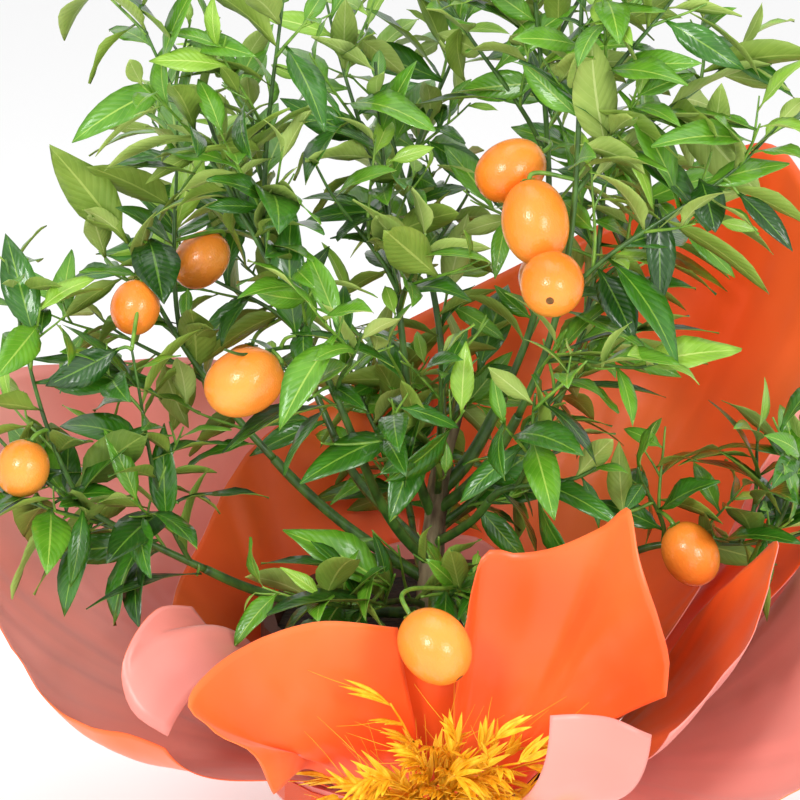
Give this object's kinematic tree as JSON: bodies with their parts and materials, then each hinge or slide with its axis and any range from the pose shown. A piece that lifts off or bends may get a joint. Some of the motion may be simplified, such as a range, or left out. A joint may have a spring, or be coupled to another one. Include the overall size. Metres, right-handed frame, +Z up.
{
  "type": "potted calamondin tree",
  "caption": "Small potted citrus tree with oval orange fruit, arching leafy shoots and a short trunk, its pot gathered in two-coloured florist's film with dried oats at the front.",
  "frame": {"origin": "middle of the flat underside of the pot", "axes": "+Z up, the front of the plant towards -Y, +X to the right seen from the front"},
  "size_m": [0.4698, 0.363, 0.5446],
  "materials": {
    "pot_plastic": "matte terracotta brown moulded plastic",
    "soil": "damp potting mix of bark and peat",
    "bark": "ridged grey-brown bark",
    "green_bark": "smooth green young bark",
    "foliage": "glossy dark green leaves with paler undersides, and glossy orange fruit",
    "film_orange": "satin orange side of the film",
    "film_rose": "satin rose side of the film",
    "ribbon": "satin woven ribbon",
    "oat": "dry, dyed golden yellow"
  },
  "bodies": {
    "root": {"pot": "pot_plastic", "soil": "soil", "trunk": "bark", "cut_stub": "bark", "bough_low_left": "green_bark", "bough_left": "green_bark", "bough_front": "green_bark", "bough_centre": "green_bark", "bough_main": "green_bark", "bough_right": "green_bark", "bough_low_right": "green_bark", "bough_far_right": "green_bark", "bough_back_left": "green_bark", "bough_back": "green_bark", "bough_back_right": "green_bark", "bough_back_low": "green_bark", "wrap_sleeve": "film_orange", "wrap_gather": "film_rose", "ribbon": "ribbon", "wrap_back_right": "film_orange", "wrap_back_inner": "film_rose", "wrap_back_left_inner": "film_orange", "wrap_back_left": "film_rose", "wrap_front_left_rose": "film_rose", "wrap_front_left": "film_orange", "wrap_front_right": "film_orange", "wrap_front_right_rose": "film_rose", "wrap_right": "film_orange", "wrap_low_right": "film_rose", "wrap_right_orange": "film_orange", "wrap_right_rose": "film_rose", "wrap_front_inner": "film_orange", "foliage_low_left": "foliage", "foliage_left": "foliage", "foliage_front": "foliage", "foliage_centre": "foliage", "foliage_main": "foliage", "foliage_right": "foliage", "foliage_low_right": "foliage", "foliage_far_right": "foliage", "foliage_core": "foliage", "foliage_core_right": "foliage", "foliage_low_front": "foliage", "foliage_low_front_right": "foliage", "foliage_back_left": "foliage", "foliage_back": "foliage", "foliage_back_right": "foliage", "foliage_back_low": "foliage", "oat_spray": "oat"}
  },
  "joints": []
}
